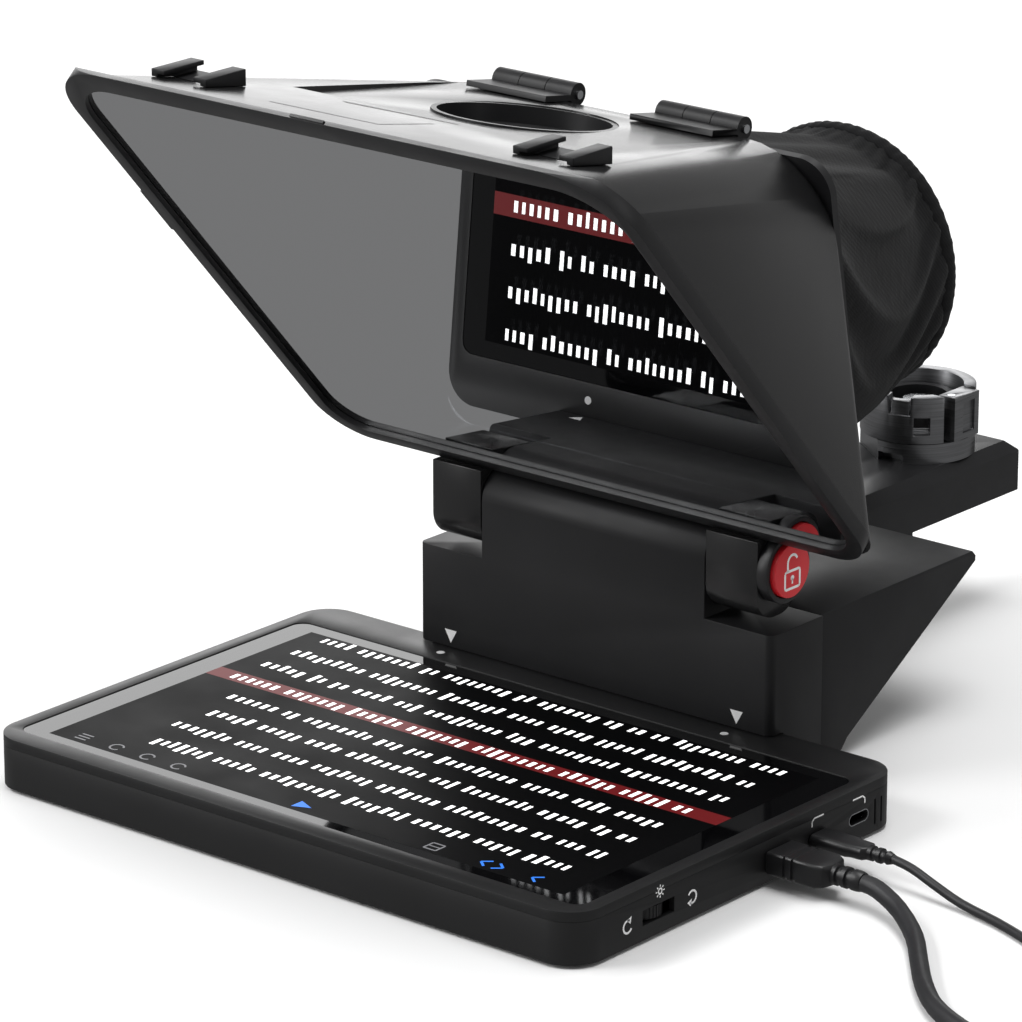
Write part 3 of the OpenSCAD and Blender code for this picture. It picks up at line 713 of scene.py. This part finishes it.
def add_marks():
    white = paint_print("white_ink", (0.86, 0.86, 0.86))
    decal("bracket_marks", [[(s * 63 - 2.7, 24.6), (s * 63, 19.8), (s * 63 + 2.7, 24.6)] for s in (-1, 1)],
          on_bracket, "base", white)
    decal("rim_dots", [arc(s * 62.6, 157.5, 1.5, 0, 345, 16) for s in (-1, 1)],
          lambda x, y: at(x, y, MONITOR_TOP + 0.03), "base", white)
    decal("side_marks", side_marks(), on_monitor_side, "base", white)
    shell = [(u + 146.0, v) for u, v in rounded_outline(5.2, 5.65, 9.55, 1.94, 1.94, 8)]
    decal("usb_port_edge", strip(shell + shell[:1], 0.28), on_monitor_side, "base", "bright_steel")
    # The first strip is a dark seam line on the roof. The wedge appended after it is painted shade: a dark
    # sheet drawn where the roof's second groove would lie in shadow.
    seam_and_groove_shade = strip([(-37.3, -128.4), (8.3, -127.6), (11.2, -104.0)], 0.8)
    seam_and_groove_shade.append([(-33.5, -97.6), (-30.0, -98.7), (14.0, -95.5), (14.0, -94.7), (-31.0, -96.6)])
    decal("roof_seam_and_groove_shade", seam_and_groove_shade, lambda x, y: on_roof(x, y, 0.06), "hood", "trim_black")
    decal("padlock_mark", padlock(), lambda u, v: at(BUTTON_FACE + INK, TILT_Y + u, TILT_Z + v),
          "lock", white)


# ---- sleeve ----

WIDE_END = {"half_w": 84.5, "low": 7.0, "high": 129.3, "r_low": 61.0, "r_high": 28.0, "steps": 24}
RIM_RADIUS, RIM_Y, RIM_Z = 46.6, 302.0, 141.0   # the round rim that the lens goes through, mm


def sleeve_rings(count, around):
    """Rows of points from the rear panel's opening to the round rim."""
    rings = []
    big = rounded_outline(**WIDE_END)
    lengths = [0.0]
    for a, b in zip(big, big[1:] + big[:1]):
        lengths.append(lengths[-1] + math.dist(a, b))
    total = lengths[-1]
    start = []
    k = 0
    for i in range(around):
        goal = total * i / around
        while lengths[k + 1] < goal:
            k += 1
        a, b = big[k], big[(k + 1) % len(big)]
        f = (goal - lengths[k]) / (lengths[k + 1] - lengths[k])
        start.append((a[0] + (b[0] - a[0]) * f, a[1] + (b[1] - a[1]) * f))
    centre_s, squeeze = 66.0, 0.76   # the wide end is wider than high, so x counts less in the angle
    for j in range(count + 1):
        t = j / count
        ring = []
        for x, s in start:
            near = on_rear(x, s, -3.9)
            angle = math.atan2(s - centre_s, x * squeeze)
            far = at(RIM_RADIUS * math.cos(angle), RIM_Y, RIM_Z + RIM_RADIUS * math.sin(angle))
            ring.append(near.lerp(far, t))
        rings.append(ring)
    return rings


def add_sleeve():
    rows, around = 34, 220
    rng = random.Random(3)
    waves = [(rng.randrange(3, 17), rng.uniform(0, 6.28), rng.uniform(0.25, 0.8)) for _ in range(9)]
    bm = bmesh.new()
    rings = sleeve_rings(rows, around)
    middle = at(0, 250, 146)
    grid = []
    for j, ring in enumerate(rings):
        t = j / rows
        fade = math.sin(math.pi * min(1.0, t * 1.04)) ** 0.7 if 0 < j < rows else 0.0
        grid.append([])
        for i, p in enumerate(ring):
            turn = 2 * math.pi * i / around
            ripple = sum(h * math.sin(n * turn + s + 2.4 * t * math.sin(n)) for n, s, h in waves)
            out = Vector((p.x - middle.x, 0, p.z - middle.z)).normalized()
            grid[-1].append(p + out * (ripple * 0.55 * fade) * MM)
    skin_rings(bm, grid, closed=False)
    obj = piece("sleeve_sheet", bm, "rear_door", "sleeve_cloth")
    simulate_sleeve(obj, rows, around)
    smooth(obj, 180)
    solid = obj.modifiers.new("thickness", "SOLIDIFY")
    solid.thickness = 1.0 * MM
    solid.offset = -1.0
    apply_modifiers(obj)
    hem = add_hem()
    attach(obj, "rear_door")
    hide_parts("sleeve")


def simulate_sleeve(obj, rows, around):
    """Lets the cloth between its two fixed ends settle, then keeps the result up to a largest movement."""
    group = obj.vertex_groups.new(name="held")
    held = list(range(around)) + list(range(rows * around, (rows + 1) * around))
    group.add(held, 1.0, "REPLACE")
    before = [v.co.copy() for v in obj.data.vertices]
    cloth = obj.modifiers.new("cloth", "CLOTH")
    s = cloth.settings
    s.quality = 6
    s.mass = 0.25
    s.tension_stiffness = s.compression_stiffness = 18
    s.shear_stiffness = 8
    s.bending_stiffness = 8.0
    s.air_damping = 3
    s.shrink_min = -0.02
    s.vertex_group_mass = "held"
    s.pin_stiffness = 5
    cloth.collision_settings.use_self_collision = False
    scene = bpy.context.scene
    for frame_no in range(1, 31):
        scene.frame_set(frame_no)
    graph = bpy.context.evaluated_depsgraph_get()
    moved = obj.evaluated_get(graph).to_mesh()
    after = [v.co.copy() for v in moved.vertices]
    obj.evaluated_get(graph).to_mesh_clear()
    obj.modifiers.remove(cloth)
    cap = 4 * MM
    for v, a, b in zip(obj.data.vertices, before, after):
        step = b - a
        if step.length > cap:
            step *= cap / step.length
        v.co = a + step
    obj.vertex_groups.clear()
    scene.frame_set(1)
    print("sleeve moved at most", round(max((b - a).length for a, b in zip(before, after)) * 1000, 1), "mm")


def add_hem():
    """Elastic hem: a flat tube of cloth gathered round the rim."""
    bm = bmesh.new()
    around, steps = 300, 12
    rings = []
    rng = random.Random(11)
    drift = [rng.uniform(-1, 1) for _ in range(around)]
    for i in range(around):
        a = 2 * math.pi * i / around
        gather = 0.20 * math.sin(67 * a + 2.4 * math.sin(7 * a) + math.sin(13 * a)) + 0.10 * drift[i]
        ring = []
        for k in range(steps):
            b = 2 * math.pi * k / steps
            r = RIM_RADIUS + 0.3 + (1.75 + gather * (0.6 + 0.4 * math.cos(b))) * math.cos(b)
            y = RIM_Y + 0.1 + 3.8 * math.sin(b) + 0.25 * gather
            ring.append(at(r * math.cos(a), y, RIM_Z + r * math.sin(a)))
        rings.append(ring)
    skin_rings(bm, rings)
    bmesh.ops.recalc_face_normals(bm, faces=bm.faces[:])
    obj = piece("sleeve_gather", bm, "rear_door", "sleeve_cloth")
    smooth(obj, 180)
    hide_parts("sleeve_hem")
    return obj


def add_spring():
    """Wound spring behind the red button; a fixed coil, which does not shorten as the button is pressed."""
    low, high, wire, radius, turns, per_turn = 66.75, 71.1, 0.32, 6.2, 3, 28
    steps = turns * per_turn
    rings = []
    for k in range(steps + 1):
        a = 2 * math.pi * k / per_turn
        x = low + wire + (high - low - 2 * wire) * k / steps
        ring = []
        for n in range(8):
            b = 2 * math.pi * n / 8
            r = radius + wire * math.cos(b)
            ring.append(at(x + wire * math.sin(b), TILT_Y + r * math.cos(a), TILT_Z + r * math.sin(a)))
        rings.append(ring)
    bm = bmesh.new()
    rows = skin_rings(bm, rings, closed=False)
    bm.faces.new(list(reversed(rows[0])))
    bm.faces.new(rows[-1])
    bmesh.ops.recalc_face_normals(bm, faces=bm.faces[:])
    obj = piece("lock_spring_coil", bm, "hood", "bright_steel")
    smooth(obj, 60)
    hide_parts("lock_spring")
    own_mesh(obj)


# ---- build ----

EDGE_WIDTHS = {   # rounding of each part's edges, mm
    "bracket_body": 0.9, "bracket_arm": 0.9, "camera_bar": 0.6, "lug_left": 0.8, "lug_right": 0.8,
    "monitor_tray": 0.5, "monitor_rim": 0.5, "glass_frame": 0.5, "hood_shell": 0.6, "shoe_left": 0.3,
    "shoe_right": 0.3, "puck_ring": 0.35, "puck_lever": 0.4, "lock_button": 0.4, "lock_ring": 0.4,
    "hinge_fixed_left": 0.3, "hinge_fixed_right": 0.3,
}

make_materials()
add_camera()
add_cords()
add_studio()
for node_name, edge in EDGE_WIDTHS.items():
    soften(node_name, edge)
add_screen()
add_marks()
add_spring()
add_sleeve()
